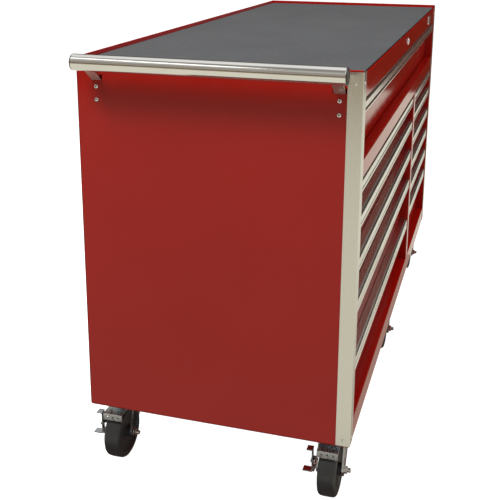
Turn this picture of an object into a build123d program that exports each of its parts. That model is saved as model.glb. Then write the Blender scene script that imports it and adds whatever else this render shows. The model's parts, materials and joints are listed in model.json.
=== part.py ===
"""Rolling tool chest: sheet-metal case on six casters, one wide drawer over two banks
of drawers, an end handle and a keyed lock.

Frame: millimetres, +Z up, drawer fronts towards -Y, handle towards -X.  The origin is on
the floor, under the middle of the whole chest's bounding box.
"""
from build123d import *
import math
import os

os.makedirs("parts", exist_ok=True)

# ---------------------------------------------------------------- driving dimensions
case_width = 1930.0
case_depth = 740.0
case_height = 990.0
caster_height = 190.0
sheet = 1.5

# Front frame, as heights above the underside of the case.
base_rail_top = 62.0
mid_rail_bottom = 718.0
mid_rail_top = 766.0
header_bottom = 918.0
rail_shelf_depth = 60.0
rail_lip_depth = 28.0
wall_thickness = 40.0
divider_thickness = 40.0
left_bank_width = 1190.0
panel_reveal = 4.0

# Lid with its raised lips, and its mat.
lip_rise = 11.0
lip_thickness = 4.0
deck_thickness = 6.0
mat_thickness = 3.0
rim_depth = 4.0
rim_gap = 5.0
mat_clearance = 1.0
weld_gap = 0.05

# Drawers: the height that each one takes up, listed from the top down.
top_drawer_pitch = 148.0
left_pitches = [92.0, 115.0, 115.0, 163.0, 165.0]
right_pitches = [78.0, 95.0, 95.0, 95.0, 95.0, 192.0]
top_drawer_gap = 4.0
bank_gap = 6.0
drawer_gap = 3.0
face_recess = 30.0
face_thickness = 16.0
face_side_gap = 2.0
box_side_gap = 13.0
box_rear_gap = 35.0
box_floor_rise = 6.0
box_top_drop = 14.0

# Extruded drawer pull.
pull_projection = 28.0
pull_height = 36.0
pull_wall = 2.2
pull_foot_height = 16.0
pull_hook = 7.0
pull_ledge = 14.0
pull_corner = 9.0

# Drawer slides.
slide_length = 610.0
slide_height = 35.0
slide_web = 1.2
slide_reach = 7.0
runner_height = 31.0
runner_length = 600.0
slide_rise = 24.0

# Stainless corner trims and their rivets.
trim_width = 38.0
trim_sheet = 1.2
trim_drop = 4.0
rivet_head_radius = 3.6
rivet_head_height = 1.8
rivet_shank_radius = 2.0
rivet_shank_length = 6.0
rivet_edge = 18.0
rivet_heights = (22.0, 958.0)

# End handle.
handle_radius = 21.0
handle_wall = 2.0
handle_length = 690.0
handle_reach = 63.0
handle_height = 985.0
cap_thickness = 3.0
cap_spigot = 15.0
bracket_spacing = 630.0
bracket_width = 28.0
bracket_thickness = 6.0
bracket_foot_bottom = 866.0
bracket_bend_height = 933.0
bracket_slot_bottom = 928.0
bracket_slot_top = 946.0
handle_screw_heights = (881.0, 915.0)
screw_radius = 3.0
screw_head_radius = 5.6
screw_head_height = 3.6

# Lock.
lock_offset = -47.0
lock_height = 950.0
lock_flange_radius = 11.5
lock_flange_height = 2.0
lock_barrel_radius = 9.0
lock_barrel_length = 16.0
plug_radius = 6.0
plug_proud = 2.0
cam_reach = 24.0
cam_width = 13.0
cam_sheet = 3.0

# Casters.
wheel_radius = 76.0
wheel_width = 50.0
hub_width = 60.0
hub_radius = 17.0
rim_inner_radius = 58.0
swivel_trail = 42.0
swivel_offset_x = 852.0
caster_offset_y = 310.0
plate_length = 114.0
plate_width = 102.0
plate_thickness = 5.0
plate_hole_spacing_x = 92.0
plate_hole_spacing_y = 66.7
plate_bolt_radius = 4.0
plate_bolt_head_radius = 7.5
plate_bolt_head_height = 5.5
race_radius = 35.0
crown_top = 166.0
crown_thickness = 6.0
crown_length = 84.0
leg_inside = 32.5
leg_thickness = 5.0
leg_boss_radius = 18.0
rigid_leg_length = 64.0
kingpin_radius = 6.0
kingpin_head_radius = 10.0
axle_radius = 6.0
axle_head_radius = 10.0
axle_end = 55.0
axle_head_thickness = 8.0
guard_reach = 60.0
guard_width = 57.0
guard_sheet = 3.0
guard_lip = 20.0
guard_overlap = 10.0
guard_hole_radius = 2.5
guard_hole_spacing = 16.0
running_gap = 0.05
face_gap = 0.5

# Side brake of the two casters at the handle end.
brake_pivot_height = 110.0
brake_pin_radius = 2.5
brake_barrel_radius = 5.0
brake_barrel_length = 14.0
brake_plate = 3.0
brake_width = 22.0
brake_top = 146.0
brake_bottom = 79.0
brake_reach_top = 60.0
brake_reach_bottom = 70.0
brake_offset_x = 31.0
brake_pad_depth = 5.0

# ---------------------------------------------------------------- derived places
# The case sits off the origin so that the whole chest's box is centred on it.
left_reach = handle_reach + handle_radius
right_proud = trim_sheet + rivet_head_height
front_proud = lock_flange_height + plug_proud
rear_proud = caster_offset_y + brake_reach_bottom - case_depth / 2
case_x = (left_reach - right_proud) / 2
case_y = (front_proud - rear_proud) / 2

left = case_x - case_width / 2
right = case_x + case_width / 2
front = case_y - case_depth / 2
rear = case_y + case_depth / 2
floor = caster_height
top = floor + case_height
deck = top - lip_rise
lid_underside = deck - deck_thickness

bay_left = left + wall_thickness
bay_right = right - wall_thickness
divider_left = bay_left + left_bank_width
divider_right = divider_left + divider_thickness
face_y = front + face_recess


# ---------------------------------------------------------------- helpers
def slab(x_range, y_range, z_range, mode=Mode.ADD):
    """Add or cut a box between two limits on each axis, in the active part."""
    x_low, x_high = x_range
    y_low, y_high = y_range
    z_low, z_high = z_range
    with Locations(((x_low + x_high) / 2, (y_low + y_high) / 2, (z_low + z_high) / 2)):
        Box(x_high - x_low, y_high - y_low, z_high - z_low, mode=mode)


def rod(start, direction, radius, length, mode=Mode.ADD):
    """Add or cut a cylinder that starts at a point and runs along a direction."""
    with Locations(Plane(origin=start, z_dir=direction)):
        Cylinder(radius, length, align=(Align.CENTER, Align.CENTER, Align.MIN), mode=mode)


def hexagon(start, direction, radius, length, mode=Mode.ADD):
    """Add a hexagonal bar with the given corner radius in the active part."""
    with BuildSketch(Plane(origin=start, z_dir=direction)) as outline:
        RegularPolygon(radius, 6)
    extrude(outline.sketch, amount=length, mode=mode)


def save(piece, name):
    """Label a finished piece and write it as one STEP file."""
    piece.label = name
    export_step(piece, f"parts/{name}.step")


# ---------------------------------------------------------------- case panels
def side_panel(outer, inward):
    """Outer side wall with folded front and rear flanges; inward is +1 or -1."""
    skin = sorted((outer, outer + inward * sheet))
    front_flange = sorted((outer, outer + inward * wall_thickness))
    rear_flange = sorted((outer, outer + inward * wall_thickness / 2))
    heights = (floor + panel_reveal, lid_underside)
    with BuildPart() as panel:
        slab(skin, (front, rear - sheet), heights)
        slab(front_flange, (front, front + sheet), heights)
        slab(rear_flange, (rear - 2 * sheet, rear - sheet), heights)
        for height in rivet_heights:
            level = floor + height
            beside = (outer - inward * 1.0, front + rivet_edge, level)
            before = (outer + inward * rivet_edge, front - 1.0, level)
            rod(beside, (inward, 0, 0), rivet_shank_radius, 5.0, Mode.SUBTRACT)
            rod(before, (0, 1, 0), rivet_shank_radius, 5.0, Mode.SUBTRACT)
    return panel.part


with BuildPart() as left_side_panel:
    add(side_panel(left, 1))
    for side in (-1, 1):
        middle = case_y + side * bracket_spacing / 2
        slot_y = (middle - bracket_width / 2 - 3, middle + bracket_width / 2 + 3)
        slot_z = (floor + bracket_slot_bottom, floor + bracket_slot_top)
        slab((left - 1, left + 3), slot_y, slot_z, Mode.SUBTRACT)
        for height in handle_screw_heights:
            rod((left - 1, middle, floor + height), (1, 0, 0), screw_radius, 5.0, Mode.SUBTRACT)
save(left_side_panel.part, "left_side_panel")

with BuildPart() as right_side_panel:
    add(side_panel(right, -1))
save(right_side_panel.part, "right_side_panel")

# The drawer slides hang on a second sheet inside each side panel.
with BuildPart() as inner_walls:
    for skin in ((bay_left - sheet, bay_left), (bay_right, bay_right + sheet)):
        slab(skin, (front + sheet, rear - 2 * sheet), (floor + panel_reveal, lid_underside))
save(inner_walls.part, "inner_walls")

with BuildPart() as back_panel:
    slab((left, right), (rear - sheet, rear), (floor + panel_reveal, lid_underside))
save(back_panel.part, "back_panel")

# The lid is a flat sheet with upstanding lips on three sides; between the corners, its
# front rim is the hem of the header rail, behind a narrow gap.
with BuildPart() as top_panel:
    slab((left, right), (front, rear), (lid_underside, deck - mat_thickness - weld_gap))
    slab(
        (bay_left, bay_right),
        (front - 1, front + rim_depth + rim_gap),
        (lid_underside - 1, deck),
        Mode.SUBTRACT,
    )
    lip_heights = (deck - mat_thickness, top)
    slab((left, left + lip_thickness), (front, rear), lip_heights)
    slab((right - lip_thickness, right), (front, rear), lip_heights)
    slab(
        (left + lip_thickness + weld_gap, right - lip_thickness - weld_gap),
        (rear - lip_thickness, rear),
        lip_heights,
    )
save(top_panel.part, "top_panel")

with BuildPart() as top_mat:
    slab(
        (left + lip_thickness + mat_clearance, right - lip_thickness - mat_clearance),
        (front + rim_depth + rim_gap, rear - lip_thickness - mat_clearance),
        (deck - mat_thickness, deck),
    )
save(top_mat.part, "top_mat")

with BuildPart() as bottom_pan:
    slab((left + 2, right - 2), (front + 2, rear - 2), (floor, floor + 2 - weld_gap))
    frame_heights = (floor + 2, floor + panel_reveal)
    slab((left + 2, left + wall_thickness), (front + 2, rear - 2), frame_heights)
    slab((right - wall_thickness, right - 2), (front + 2, rear - 2), frame_heights)
    frame_x = (left + wall_thickness + weld_gap, right - wall_thickness - weld_gap)
    slab(frame_x, (front + 2, front + rail_shelf_depth), frame_heights)
    slab(frame_x, (rear - wall_thickness, rear - 2), frame_heights)
save(bottom_pan.part, "bottom_pan")


# ---------------------------------------------------------------- front frame
# The header's hem, web, upper flange and lower lip are welded strips.
with BuildPart() as header_rail:
    slab((bay_left, bay_right), (front, front + sheet), (floor + header_bottom, lid_underside - weld_gap))
    slab((bay_left, bay_right), (front, front + rim_depth), (lid_underside, deck))
    slab(
        (bay_left, bay_right),
        (front + sheet + weld_gap, front + wall_thickness),
        (lid_underside - sheet - weld_gap, lid_underside - weld_gap),
    )
    slab(
        (bay_left, bay_right),
        (front + sheet + weld_gap, front + rail_lip_depth),
        (floor + header_bottom, floor + header_bottom + sheet),
    )
    rod(
        (case_x + lock_offset, front - 1, floor + lock_height),
        (0, 1, 0),
        lock_barrel_radius,
        4.0,
        Mode.SUBTRACT,
    )
save(header_rail.part, "header_rail")

with BuildPart() as mid_rail:
    slab((bay_left, bay_right), (front, front + sheet), (floor + mid_rail_bottom, floor + mid_rail_top))
    slab(
        (bay_left, bay_right),
        (front, front + rail_shelf_depth),
        (floor + mid_rail_top - sheet, floor + mid_rail_top),
    )
    slab(
        (bay_left, bay_right),
        (front, front + rail_lip_depth),
        (floor + mid_rail_bottom, floor + mid_rail_bottom + sheet),
    )
save(mid_rail.part, "mid_rail")

with BuildPart() as base_rail:
    slab((bay_left, bay_right), (front, front + sheet), (floor + panel_reveal, floor + base_rail_top))
    slab(
        (bay_left, bay_right),
        (front, front + rail_shelf_depth),
        (floor + base_rail_top - sheet, floor + base_rail_top),
    )
save(base_rail.part, "base_rail")

with BuildPart() as center_divider:
    heights = (floor + base_rail_top, floor + mid_rail_bottom)
    slab((divider_left, divider_right), (front, front + sheet), heights)
    slab((divider_left, divider_left + sheet), (front, rear - sheet), heights)
    slab((divider_right - sheet, divider_right), (front, rear - sheet), heights)
save(center_divider.part, "center_divider")


# ---------------------------------------------------------------- corner trims
def corner_trim(outer, inward):
    """L-shaped stainless strip that wraps one front corner of the case."""
    beside = sorted((outer - inward * trim_sheet, outer))
    before = sorted((outer - inward * trim_sheet, outer + inward * trim_width))
    heights = (floor + panel_reveal, top - trim_drop)
    with BuildPart() as trim:
        slab(beside, (front - trim_sheet, front - trim_sheet + trim_width), heights)
        slab(before, (front - trim_sheet, front), heights)
        for height in rivet_heights:
            level = floor + height
            side_start = (outer - inward * 3.0, front + rivet_edge, level)
            front_start = (outer + inward * rivet_edge, front - 3.0, level)
            rod(side_start, (inward, 0, 0), rivet_shank_radius, 5.0, Mode.SUBTRACT)
            rod(front_start, (0, 1, 0), rivet_shank_radius, 5.0, Mode.SUBTRACT)
    return trim.part


with BuildPart() as corner_trims:
    add(corner_trim(left, 1))
    add(corner_trim(right, -1))
save(corner_trims.part, "corner_trims")

with BuildPart() as trim_rivets:
    for outer, inward in ((left, 1), (right, -1)):
        for height in rivet_heights:
            level = floor + height
            side_head = (outer - inward * (trim_sheet + rivet_head_height), front + rivet_edge, level)
            side_shank = (outer - inward * trim_sheet, front + rivet_edge, level)
            rod(side_head, (inward, 0, 0), rivet_head_radius, rivet_head_height)
            rod(side_shank, (inward, 0, 0), rivet_shank_radius, rivet_shank_length)
            front_head = (outer + inward * rivet_edge, front - trim_sheet - rivet_head_height, level)
            front_shank = (outer + inward * rivet_edge, front - trim_sheet, level)
            rod(front_head, (0, 1, 0), rivet_head_radius, rivet_head_height)
            rod(front_shank, (0, 1, 0), rivet_shank_radius, rivet_shank_length)
save(trim_rivets.part, "trim_rivets")


# ---------------------------------------------------------------- end handle
handle_x = left - handle_reach
handle_z = floor + handle_height
tube_length = handle_length - 2 * cap_thickness

with BuildPart() as handle_tube:
    with BuildSketch(Plane(origin=(handle_x, case_y - tube_length / 2, handle_z), z_dir=(0, 1, 0))):
        Circle(handle_radius)
        Circle(handle_radius - handle_wall, mode=Mode.SUBTRACT)
    extrude(amount=tube_length)
save(handle_tube.part, "handle_tube")

with BuildPart() as handle_end_caps:
    for side in (-1, 1):
        cap_face = (handle_x, case_y + side * handle_length / 2, handle_z)
        spigot_face = (handle_x, case_y + side * tube_length / 2, handle_z)
        rod(cap_face, (0, -side, 0), handle_radius, cap_thickness)
        rod(spigot_face, (0, -side, 0), handle_radius - handle_wall, cap_spigot)
save(handle_end_caps.part, "handle_end_caps")

# Each bracket is a bent flat bar: its foot is inside the panel, and its arm leaves through
# a slot and rises to the underside of the tube.
foot_x = left + sheet + bracket_thickness / 2
arm_run = foot_x - handle_x
arm_rise = handle_height - bracket_bend_height
arm_length = math.hypot(arm_run, arm_rise)
normal_x = -arm_rise / arm_length * bracket_thickness / 2
normal_z = -arm_run / arm_length * bracket_thickness / 2

with BuildPart() as handle_brackets:
    for side in (-1, 1):
        middle = case_y + side * bracket_spacing / 2
        with BuildSketch(Plane(origin=(0, middle, 0), x_dir=(1, 0, 0), z_dir=(0, -1, 0))):
            with BuildLine():
                Polyline(
                    (foot_x + bracket_thickness / 2, floor + bracket_foot_bottom),
                    (foot_x + bracket_thickness / 2, floor + bracket_bend_height),
                    (handle_x - normal_x, handle_z - normal_z),
                    (handle_x + normal_x, handle_z + normal_z),
                    (foot_x - bracket_thickness / 2, floor + bracket_bend_height - bracket_thickness / 2),
                    (foot_x - bracket_thickness / 2, floor + bracket_foot_bottom),
                    close=True,
                )
            make_face()
        extrude(amount=bracket_width / 2, both=True)
        for height in handle_screw_heights:
            rod((left - 1, middle, floor + height), (1, 0, 0), screw_radius, 12.0, Mode.SUBTRACT)
    rod(
        (handle_x, case_y - handle_length, handle_z),
        (0, 1, 0),
        handle_radius,
        2 * handle_length,
        Mode.SUBTRACT,
    )
save(handle_brackets.part, "handle_brackets")

with BuildPart() as handle_screws:
    for side in (-1, 1):
        middle = case_y + side * bracket_spacing / 2
        for height in handle_screw_heights:
            level = floor + height
            rod((left - screw_head_height, middle, level), (1, 0, 0), screw_head_radius, screw_head_height)
            rod((left, middle, level), (1, 0, 0), screw_radius, 16.0)
            nut_face = left + sheet + bracket_thickness
            hexagon((nut_face, middle, level), (1, 0, 0), 5.8, 5.0)
save(handle_screws.part, "handle_screws")


# ---------------------------------------------------------------- lock
lock_x = case_x + lock_offset
lock_z = floor + lock_height
cam_y = front + lock_barrel_length + 0.5

with BuildPart() as lock_housing:
    rod((lock_x, front - lock_flange_height, lock_z), (0, 1, 0), lock_flange_radius, lock_flange_height)
    rod((lock_x, front, lock_z), (0, 1, 0), lock_barrel_radius, lock_barrel_length)
    rod(
        (lock_x, front - lock_flange_height - 1, lock_z),
        (0, 1, 0),
        plug_radius + running_gap,
        lock_barrel_length + 10,
        Mode.SUBTRACT,
    )
save(lock_housing.part, "lock_housing")

with BuildPart() as lock_plug:
    rod(
        (lock_x, front - lock_flange_height - plug_proud, lock_z),
        (0, 1, 0),
        plug_radius,
        lock_flange_height + plug_proud + lock_barrel_length + 0.5,
    )
    slab(
        (lock_x - 0.8, lock_x + 0.8),
        (front - lock_flange_height - plug_proud - 1, front + 10),
        (lock_z - 3.5, lock_z + 3.5),
        Mode.SUBTRACT,
    )
save(lock_plug.part, "lock_plug")

# The cam turns with the plug, behind the barrel, and hangs down when it is locked.
with BuildPart() as lock_cam:
    with BuildSketch(Plane(origin=(lock_x, cam_y, lock_z), x_dir=(1, 0, 0), z_dir=(0, -1, 0))) as cam_outline:
        Circle(plug_radius + 3)
        with Locations((0, -cam_reach + cam_width / 2)):
            Circle(cam_width / 2)
        make_hull()
    extrude(cam_outline.sketch, amount=-cam_sheet)
    hexagon((lock_x, cam_y + cam_sheet, lock_z), (0, 1, 0), plug_radius - 1, 4.0)
save(lock_cam.part, "lock_cam")


# ---------------------------------------------------------------- drawers
def drawer_list():
    """Name, side limits, top height and pitch of every drawer."""
    drawers = [("top_drawer", bay_left, bay_right, floor + header_bottom - top_drawer_gap, top_drawer_pitch)]
    banks = (
        ("left", bay_left, divider_left, left_pitches),
        ("right", divider_right, bay_right, right_pitches),
    )
    for bank, low, high, pitches in banks:
        level = floor + mid_rail_bottom - bank_gap
        for number, pitch in enumerate(pitches, start=1):
            drawers.append((f"{bank}_drawer_{number}", low, high, level, pitch))
            level -= pitch
    return drawers


def drawer_box(low, high, level, pitch):
    """Tray with its hollow face, and the two slide runners on its sides."""
    face_x = (low + face_side_gap, high - face_side_gap)
    face_z = (level - pitch + drawer_gap, level - pull_wall - 0.1)
    tray_x = (low + box_side_gap, high - box_side_gap)
    tray_y = (face_y + face_thickness - sheet, rear - box_rear_gap)
    tray_z = (face_z[0] + box_floor_rise, level - box_top_drop)
    runner_z = tray_z[0] + slide_rise
    runner_y = (face_y + face_thickness + 3, face_y + face_thickness + 3 + runner_length)
    with BuildPart() as box:
        slab(face_x, (face_y, face_y + face_thickness), face_z)
        slab(
            (face_x[0] - 1, face_x[1] + 1),
            (face_y + sheet, face_y + face_thickness - sheet),
            (face_z[0] + sheet, face_z[1] - sheet),
            Mode.SUBTRACT,
        )
        slab(tray_x, tray_y, tray_z)
        slab(
            (tray_x[0] + sheet, tray_x[1] - sheet),
            (tray_y[0] + sheet, tray_y[1] - sheet),
            (tray_z[0] + sheet, tray_z[1] + 1),
            Mode.SUBTRACT,
        )
        slab(
            (tray_x[0], tray_x[1]),
            (face_y + face_thickness, face_y + face_thickness + 1),
            (tray_z[1], face_z[1] + 1),
            Mode.SUBTRACT,
        )
        for wall, outward in ((tray_x[0] - 0.1, -1), (tray_x[1] + 0.1, 1)):
            web = sorted((wall, wall + outward * sheet))
            reach = sorted((wall, wall + outward * (box_side_gap - 2.3)))
            slab(web, runner_y, (runner_z - runner_height / 2, runner_z + runner_height / 2))
            slab(reach, runner_y, (runner_z - runner_height / 2, runner_z - runner_height / 2 + sheet))
            slab(reach, runner_y, (runner_z + runner_height / 2 - sheet, runner_z + runner_height / 2))
    return box.part


def drawer_pull(low, high, level):
    """Full-width extrusion: a ledge over the face, a foot behind and a hooked finger lip."""
    lip_y = face_y - pull_projection
    inner_y = lip_y + pull_wall
    with BuildPart() as pull:
        with BuildSketch(Plane(origin=(low + face_side_gap + 1, 0, 0), x_dir=(0, 1, 0), z_dir=(1, 0, 0))):
            with BuildLine():
                Polyline(
                    (face_y + pull_ledge, level),
                    (lip_y, level),
                    (lip_y, level - pull_height),
                    (lip_y + pull_hook, level - pull_height),
                    (lip_y + pull_hook, level - pull_height + pull_wall),
                    (inner_y, level - pull_height + pull_wall),
                    (inner_y, level - pull_wall),
                    (face_y - 0.1 - pull_wall, level - pull_wall),
                    (face_y - 0.1 - pull_wall, level - pull_foot_height),
                    (face_y - 0.1, level - pull_foot_height),
                    (face_y - 0.1, level - pull_wall),
                    (face_y + pull_ledge, level - pull_wall),
                    close=True,
                )
            make_face()
        extrude(amount=high - low - 2 * face_side_gap - 2)
        rounded_corners = (
            ((low, inner_y, level - pull_wall), pull_corner - pull_wall),
            ((low, lip_y, level), pull_corner),
            ((low, lip_y, level - pull_height), pull_wall / 2),
        )
        for corner, radius in rounded_corners:
            long_edges = pull.edges().filter_by(Axis.X)
            fillet(long_edges.sort_by_distance(corner)[0:1], radius)
    return pull.part


for name, low, high, level, pitch in drawer_list():
    with BuildPart() as box_node:
        add(drawer_box(low, high, level, pitch))
    save(box_node.part, f"{name}_box")
    with BuildPart() as pull_node:
        add(drawer_pull(low, high, level))
    save(pull_node.part, f"{name}_pull")

# The fixed slide members: one channel on each side of each drawer.
with BuildPart() as slide_rails:
    for name, low, high, level, pitch in drawer_list():
        tray_floor = level - pitch + drawer_gap + box_floor_rise
        middle_z = tray_floor + slide_rise
        rail_y = (face_y + face_thickness + 2, face_y + face_thickness + 2 + slide_length)
        for wall, inward in ((low, 1), (high, -1)):
            web = sorted((wall, wall + inward * slide_web))
            reach = sorted((wall, wall + inward * slide_reach))
            bottom = middle_z - slide_height / 2
            slab(web, rail_y, (bottom, bottom + slide_height))
            slab(reach, rail_y, (bottom, bottom + slide_web))
            slab(reach, rail_y, (bottom + slide_height - slide_web, bottom + slide_height))
save(slide_rails.part, "slide_rails")


# ---------------------------------------------------------------- casters
def swivel_places():
    """Name and swivel axis of the four corner casters."""
    places = []
    for end, x_side in (("left", -1), ("right", 1)):
        for row, y_side in (("front", -1), ("rear", 1)):
            x = case_x + x_side * swivel_offset_x
            y = case_y + y_side * caster_offset_y
            places.append((f"{row}_{end}", x, y))
    return places


def rigid_places():
    """Name and plate centre of the two middle casters."""
    return [
        ("front_middle", case_x, case_y - caster_offset_y),
        ("rear_middle", case_x, case_y + caster_offset_y),
    ]


def plate_holes(x, y):
    """Cut the four bolt holes of one caster plate in the active part."""
    with BuildSketch(Plane.XY.offset(floor - plate_thickness)) as holes:
        with Locations((x, y)):
            with GridLocations(plate_hole_spacing_x, plate_hole_spacing_y, 2, 2):
                Circle(plate_bolt_radius)
    extrude(holes.sketch, amount=plate_thickness, mode=Mode.SUBTRACT)


def axle_bolt(x, y):
    """Bolt through both legs, with its head on one side and a hexagonal nut on the other."""
    leg_outside = leg_inside + leg_thickness + running_gap
    rod((x, y - axle_end, wheel_radius), (0, 1, 0), axle_radius, 2 * axle_end - 6)
    hexagon((x, y - leg_outside - axle_head_thickness, wheel_radius), (0, 1, 0), axle_head_radius, axle_head_thickness)
    hexagon((x, y + leg_outside, wheel_radius), (0, 1, 0), axle_head_radius, axle_head_thickness)


def fork_leg(x_top, y_inner, y_side, x_axle, top_z, top_length):
    """One tapered leg from a flat top down to the boss around the axle."""
    with BuildSketch(Plane(origin=(0, y_inner, 0), x_dir=(1, 0, 0), z_dir=(0, -1, 0))) as outline:
        with Locations((x_top, top_z - 2)):
            Rectangle(top_length, 4)
        with Locations((x_axle, wheel_radius)):
            Circle(leg_boss_radius)
        make_hull()
        with Locations((x_axle, wheel_radius)):
            Circle(axle_radius + running_gap, mode=Mode.SUBTRACT)
    extrude(outline.sketch, amount=-y_side * leg_thickness)


def wheel_guard(x_axle, y):
    """Plate under the crown that reaches over the wheel and ends in a lip with three holes."""
    end = x_axle - guard_reach
    underside = crown_top - crown_thickness - guard_sheet
    span = (y - guard_width / 2, y + guard_width / 2)
    slab((end, x_axle + guard_overlap), span, (underside, underside + guard_sheet))
    slab((end, end + guard_sheet), span, (underside + guard_sheet - guard_lip, underside + guard_sheet))
    for place in (-1, 0, 1):
        hole_start = (end - 1, y + place * guard_hole_spacing, underside + guard_sheet - guard_lip / 2)
        rod(hole_start, (1, 0, 0), guard_hole_radius, guard_sheet + 2, Mode.SUBTRACT)


def swivel_fork(x, y, braked):
    """Pressed fork that turns on the kingpin, its axle bolt and any brake pivot."""
    x_axle = x - swivel_trail
    with BuildPart() as fork:
        with BuildSketch(Plane.XY.offset(crown_top - crown_thickness)):
            with Locations((x, y)):
                RectangleRounded(crown_length, 2 * (leg_inside + leg_thickness), 8)
                Circle(kingpin_radius + running_gap, mode=Mode.SUBTRACT)
        extrude(amount=crown_thickness)
        for y_side in (-1, 1):
            fork_leg(x, y + y_side * leg_inside, y_side, x_axle, crown_top, crown_length - 16)
        if braked:
            wheel_guard(x_axle, y)
            lug_x = x_axle - brake_offset_x
            lug_y = y + leg_inside + leg_thickness / 2
            brake_y = brake_pivot_y(y)
            slab(
                (lug_x + brake_barrel_length / 2 + 1, lug_x + brake_barrel_length / 2 + 30),
                (lug_y - leg_thickness / 2, lug_y + leg_thickness / 2),
                (brake_pivot_height - 6, brake_pivot_height + 6),
            )
            slab(
                (lug_x + brake_barrel_length / 2 + 1, lug_x + brake_barrel_length / 2 + 5),
                (lug_y - leg_thickness / 2, brake_y + 4),
                (brake_pivot_height - 6, brake_pivot_height + 6),
            )
            rod(
                (lug_x + brake_barrel_length / 2 + 1, brake_y, brake_pivot_height),
                (-1, 0, 0),
                brake_pin_radius,
                brake_barrel_length + 3,
            )
        axle_bolt(x_axle, y)
    return fork.part


def brake_pivot_y(y):
    """Depth of the brake's pivot, just outside the rear leg."""
    return y + leg_inside + leg_thickness + brake_barrel_radius + 2


def brake_lever(x, y):
    """Rocking side brake: barrel on its pin, spine, two foot tabs and a pad by the wheel."""
    x_middle = x - swivel_trail - brake_offset_x
    y_pivot = brake_pivot_y(y)
    width = (x_middle - brake_width / 2, x_middle + brake_width / 2)
    barrel = (x_middle - brake_barrel_length / 2, x_middle + brake_barrel_length / 2)
    spine_y = (y_pivot - brake_plate / 2, y_pivot + brake_plate / 2)
    with BuildPart() as lever:
        slab(barrel, spine_y, (brake_bottom, brake_top))
        slab(width, spine_y, (brake_top - brake_plate, brake_top))
        rod((barrel[0], y_pivot, brake_pivot_height), (1, 0, 0), brake_barrel_radius, brake_barrel_length)
        slab(width, (spine_y[0], y + brake_reach_top), (brake_top - brake_plate, brake_top))
        slab(width, (spine_y[0], y + brake_reach_bottom), (brake_bottom, brake_bottom + brake_plate))
        slab(barrel, (spine_y[0] - brake_pad_depth, spine_y[1]), (brake_bottom, brake_bottom + 14))
        rod(
            (barrel[0] - 1, y_pivot, brake_pivot_height),
            (1, 0, 0),
            brake_pin_radius + running_gap,
            brake_barrel_length + 2,
            Mode.SUBTRACT,
        )
    return lever.part


def caster_wheel(x, y):
    """Wheel with a dished side, a boss and a plain bore, turned about its axle."""
    half = wheel_width / 2
    with BuildPart() as wheel:
        with BuildSketch(Plane(origin=(x, y, wheel_radius), x_dir=(0, 1, 0), z_dir=(1, 0, 0))):
            with BuildLine():
                Polyline(
                    (-hub_width / 2, axle_radius + running_gap),
                    (-hub_width / 2, hub_radius),
                    (-half + 8, hub_radius + 4),
                    (-half + 8, rim_inner_radius - 6),
                    (-half, rim_inner_radius),
                    (-half, wheel_radius - 8),
                    (-half + 8, wheel_radius),
                    (half - 8, wheel_radius),
                    (half, wheel_radius - 8),
                    (half, rim_inner_radius),
                    (half - 8, rim_inner_radius - 6),
                    (half - 8, hub_radius + 4),
                    (hub_width / 2, hub_radius),
                    (hub_width / 2, axle_radius + running_gap),
                    close=True,
                )
            make_face()
        revolve(axis=Axis((x, y, wheel_radius), (0, 1, 0)))
    return wheel.part


with BuildPart() as caster_plates:
    for name, x, y in swivel_places():
        slab(
            (x - plate_length / 2, x + plate_length / 2),
            (y - plate_width / 2, y + plate_width / 2),
            (floor - plate_thickness, floor),
        )
        race_height = floor - plate_thickness - crown_top - face_gap
        rod((x, y, crown_top + face_gap), (0, 0, 1), race_radius, race_height)
        rod((x, y, crown_top - crown_thickness - face_gap), (0, 0, 1), kingpin_radius, 10.0)
        rod((x, y, crown_top - crown_thickness - face_gap), (0, 0, -1), kingpin_head_radius, 4.0)
        plate_holes(x, y)
save(caster_plates.part, "caster_plates")

with BuildPart() as rigid_caster_forks:
    for name, x, y in rigid_places():
        slab(
            (x - plate_length / 2, x + plate_length / 2),
            (y - plate_width / 2, y + plate_width / 2),
            (floor - plate_thickness, floor),
        )
        plate_holes(x, y)
        for y_side in (-1, 1):
            fork_leg(x, y + y_side * leg_inside, y_side, x, floor - plate_thickness, rigid_leg_length)
        axle_bolt(x, y)
save(rigid_caster_forks.part, "rigid_caster_forks")

with BuildPart() as caster_bolts:
    for name, x, y in swivel_places() + rigid_places():
        for x_side in (-1, 1):
            for y_side in (-1, 1):
                bolt_x = x + x_side * plate_hole_spacing_x / 2
                bolt_y = y + y_side * plate_hole_spacing_y / 2
                under_plate = floor - plate_thickness
                hexagon((bolt_x, bolt_y, under_plate), (0, 0, -1), plate_bolt_head_radius, plate_bolt_head_height)
                rod((bolt_x, bolt_y, under_plate), (0, 0, 1), plate_bolt_radius, plate_thickness)
save(caster_bolts.part, "caster_bolts")

for name, x, y in swivel_places():
    braked = name.endswith("left")
    with BuildPart() as fork_node:
        add(swivel_fork(x, y, braked))
    save(fork_node.part, f"{name}_fork")
    with BuildPart() as wheel_node:
        add(caster_wheel(x - swivel_trail, y))
    save(wheel_node.part, f"{name}_wheel")
    if braked:
        with BuildPart() as lever_node:
            add(brake_lever(x, y))
        save(lever_node.part, f"{name}_brake")

for name, x, y in rigid_places():
    with BuildPart() as wheel_node:
        add(caster_wheel(x, y))
    save(wheel_node.part, f"{name}_wheel")
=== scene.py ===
"""Rolling tool chest: every visible surface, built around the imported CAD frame.

Units are metres, in the frame of the CAD model: +Z up, drawer fronts towards -Y, handle
towards -X.  Places come from the boxes of the CAD nodes; the sizes below are those of the
real sheets, extrusions and castings.
"""
import json
import math

import bmesh
import bpy
from mathutils import Matrix, Vector

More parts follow.
